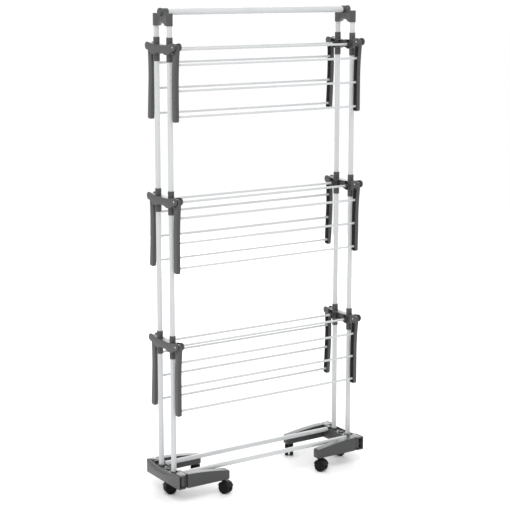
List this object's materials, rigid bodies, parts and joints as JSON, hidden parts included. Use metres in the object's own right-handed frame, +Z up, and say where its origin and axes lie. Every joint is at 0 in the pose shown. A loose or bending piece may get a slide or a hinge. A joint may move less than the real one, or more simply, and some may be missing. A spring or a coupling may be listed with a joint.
{
  "type": "clothes drying rack",
  "caption": "Upright folding clothes drying rack on casters: three tiers, each with two fixed rods and two hinged wings of rods, a top hanging bar and fold-out legs.",
  "frame": {"origin": "on the floor under the middle of the rack, folded for storage", "axes": "+X along the rods to the right, +Y to the rear, +Z up"},
  "size_m": [0.786, 0.2624, 1.6701],
  "materials": {
    "white_tube": "white powder coat, satin",
    "grey_plastic": "moulded mid grey plastic, satin",
    "dark_plastic": "moulded dark grey plastic, satin",
    "black_plastic": "moulded black plastic"
  },
  "bodies": {
    "frame": {"base_bar_front": "white_tube", "base_bar_rear": "white_tube", "base_beam_left": "grey_plastic", "base_beam_right": "grey_plastic", "post_front_left": "white_tube", "post_front_right": "white_tube", "post_rear_left": "white_tube", "post_rear_right": "white_tube", "tier_1_frame": "grey_plastic", "tier_2_frame": "grey_plastic", "tier_3_frame": "grey_plastic", "top_bar": "white_tube", "top_cap_left": "grey_plastic", "top_cap_right": "grey_plastic"},
    "wing_1_front": {"wing_1_front_arm_left": "grey_plastic", "wing_1_front_arm_right": "grey_plastic", "wing_1_front_rod_inner": "white_tube", "wing_1_front_rod_middle": "white_tube", "wing_1_front_rod_outer": "white_tube"},
    "wing_1_rear": {"wing_1_rear_arm_left": "grey_plastic", "wing_1_rear_arm_right": "grey_plastic", "wing_1_rear_rod_inner": "white_tube", "wing_1_rear_rod_middle": "white_tube", "wing_1_rear_rod_outer": "white_tube"},
    "wing_2_front": {"wing_2_front_arm_left": "grey_plastic", "wing_2_front_arm_right": "grey_plastic", "wing_2_front_rod_inner": "white_tube", "wing_2_front_rod_middle": "white_tube", "wing_2_front_rod_outer": "white_tube"},
    "wing_2_rear": {"wing_2_rear_arm_left": "grey_plastic", "wing_2_rear_arm_right": "grey_plastic", "wing_2_rear_rod_inner": "white_tube", "wing_2_rear_rod_middle": "white_tube", "wing_2_rear_rod_outer": "white_tube"},
    "wing_3_front": {"wing_3_front_arm_left": "grey_plastic", "wing_3_front_arm_right": "grey_plastic", "wing_3_front_rod_inner": "white_tube", "wing_3_front_rod_middle": "white_tube", "wing_3_front_rod_outer": "white_tube"},
    "wing_3_rear": {"wing_3_rear_arm_left": "grey_plastic", "wing_3_rear_arm_right": "grey_plastic", "wing_3_rear_rod_inner": "white_tube", "wing_3_rear_rod_middle": "white_tube", "wing_3_rear_rod_outer": "white_tube"},
    "leg_front_left": {"leg_front_left": "dark_plastic"},
    "leg_rear_left": {"leg_rear_left": "dark_plastic"},
    "leg_front_right": {"leg_front_right": "dark_plastic"},
    "leg_rear_right": {"leg_rear_right": "dark_plastic"},
    "caster_front_left_fork": {"caster_front_left_hood": "black_plastic"},
    "caster_front_left_wheels": {"caster_front_left_wheels": "black_plastic"},
    "caster_rear_left_fork": {"caster_rear_left_hood": "black_plastic"},
    "caster_rear_left_wheels": {"caster_rear_left_wheels": "black_plastic"},
    "caster_centre_left_fork": {"caster_centre_left_hood": "black_plastic"},
    "caster_centre_left_wheels": {"caster_centre_left_wheels": "black_plastic"},
    "caster_front_right_fork": {"caster_front_right_hood": "black_plastic"},
    "caster_front_right_wheels": {"caster_front_right_wheels": "black_plastic"},
    "caster_rear_right_fork": {"caster_rear_right_hood": "black_plastic"},
    "caster_rear_right_wheels": {"caster_rear_right_wheels": "black_plastic"},
    "caster_centre_right_fork": {"caster_centre_right_hood": "black_plastic"},
    "caster_centre_right_wheels": {"caster_centre_right_wheels": "black_plastic"}
  },
  "joints": [
    {"name": "wing_1_front_hinge", "type": "hinge", "parent": "frame", "child": "wing_1_front", "pos_m": [0, -0.085, 0.544], "axis": [-1, 0, 0], "range_deg": [-2, 90]},
    {"name": "wing_1_rear_hinge", "type": "hinge", "parent": "frame", "child": "wing_1_rear", "pos_m": [0, 0.085, 0.544], "axis": [1, 0, 0], "range_deg": [-5, 86.5]},
    {"name": "wing_2_front_hinge", "type": "hinge", "parent": "frame", "child": "wing_2_front", "pos_m": [0, -0.085, 1.038], "axis": [-1, 0, 0], "range_deg": [-2, 90]},
    {"name": "wing_2_rear_hinge", "type": "hinge", "parent": "frame", "child": "wing_2_rear", "pos_m": [0, 0.085, 1.038], "axis": [1, 0, 0], "range_deg": [-5, 86.5]},
    {"name": "wing_3_front_hinge", "type": "hinge", "parent": "frame", "child": "wing_3_front", "pos_m": [0, -0.085, 1.544], "axis": [-1, 0, 0], "range_deg": [-2, 90]},
    {"name": "wing_3_rear_hinge", "type": "hinge", "parent": "frame", "child": "wing_3_rear", "pos_m": [0, 0.085, 1.544], "axis": [1, 0, 0], "range_deg": [-5, 86.5]},
    {"name": "leg_front_left_hinge", "type": "hinge", "parent": "frame", "child": "leg_front_left", "pos_m": [-0.373, -0.097, 0.0745], "axis": [0, 0, -1], "range_deg": [0, 90]},
    {"name": "leg_rear_left_hinge", "type": "hinge", "parent": "frame", "child": "leg_rear_left", "pos_m": [-0.373, 0.097, 0.0745], "axis": [0, 0, 1], "range_deg": [0, 90]},
    {"name": "leg_front_right_hinge", "type": "hinge", "parent": "frame", "child": "leg_front_right", "pos_m": [0.373, -0.097, 0.0745], "axis": [0, 0, 1], "range_deg": [0, 90]},
    {"name": "leg_rear_right_hinge", "type": "hinge", "parent": "frame", "child": "leg_rear_right", "pos_m": [0.373, 0.097, 0.0745], "axis": [0, 0, -1], "range_deg": [0, 90]},
    {"name": "caster_front_left_swivel", "type": "hinge", "parent": "leg_front_left", "child": "caster_front_left_fork", "pos_m": [-0.205, -0.097, 0.05], "axis": [0, 0, 1], "continuous": true},
    {"name": "caster_front_left_roll", "type": "hinge", "parent": "caster_front_left_fork", "child": "caster_front_left_wheels", "pos_m": [-0.20226, -0.10452, 0.021], "axis": [0.9397, 0.342, 0], "continuous": true},
    {"name": "caster_rear_left_swivel", "type": "hinge", "parent": "leg_rear_left", "child": "caster_rear_left_fork", "pos_m": [-0.205, 0.097, 0.05], "axis": [0, 0, 1], "continuous": true},
    {"name": "caster_rear_left_roll", "type": "hinge", "parent": "caster_rear_left_fork", "child": "caster_rear_left_wheels", "pos_m": [-0.2003, 0.10347, 0.021], "axis": [-0.809, 0.5878, 0], "continuous": true},
    {"name": "caster_centre_left_swivel", "type": "hinge", "parent": "frame", "child": "caster_centre_left_fork", "pos_m": [-0.373, 0, 0.05], "axis": [0, 0, 1], "continuous": true},
    {"name": "caster_centre_left_roll", "type": "hinge", "parent": "caster_centre_left_fork", "child": "caster_centre_left_wheels", "pos_m": [-0.36512, -0.00139, 0.021], "axis": [0.1736, 0.9848, 0], "continuous": true},
    {"name": "caster_front_right_swivel", "type": "hinge", "parent": "leg_front_right", "child": "caster_front_right_fork", "pos_m": [0.205, -0.097, 0.05], "axis": [0, 0, 1], "continuous": true},
    {"name": "caster_front_right_roll", "type": "hinge", "parent": "caster_front_right_fork", "child": "caster_front_right_wheels", "pos_m": [0.20774, -0.10452, 0.021], "axis": [0.9397, 0.342, 0], "continuous": true},
    {"name": "caster_rear_right_swivel", "type": "hinge", "parent": "leg_rear_right", "child": "caster_rear_right_fork", "pos_m": [0.205, 0.097, 0.05], "axis": [0, 0, 1], "continuous": true},
    {"name": "caster_rear_right_roll", "type": "hinge", "parent": "caster_rear_right_fork", "child": "caster_rear_right_wheels", "pos_m": [0.2097, 0.10347, 0.021], "axis": [-0.809, 0.5878, 0], "continuous": true},
    {"name": "caster_centre_right_swivel", "type": "hinge", "parent": "frame", "child": "caster_centre_right_fork", "pos_m": [0.373, 0, 0.05], "axis": [0, 0, 1], "continuous": true},
    {"name": "caster_centre_right_roll", "type": "hinge", "parent": "caster_centre_right_fork", "child": "caster_centre_right_wheels", "pos_m": [0.36512, -0.00139, 0.021], "axis": [0.1736, -0.9848, 0], "continuous": true}
  ]
}
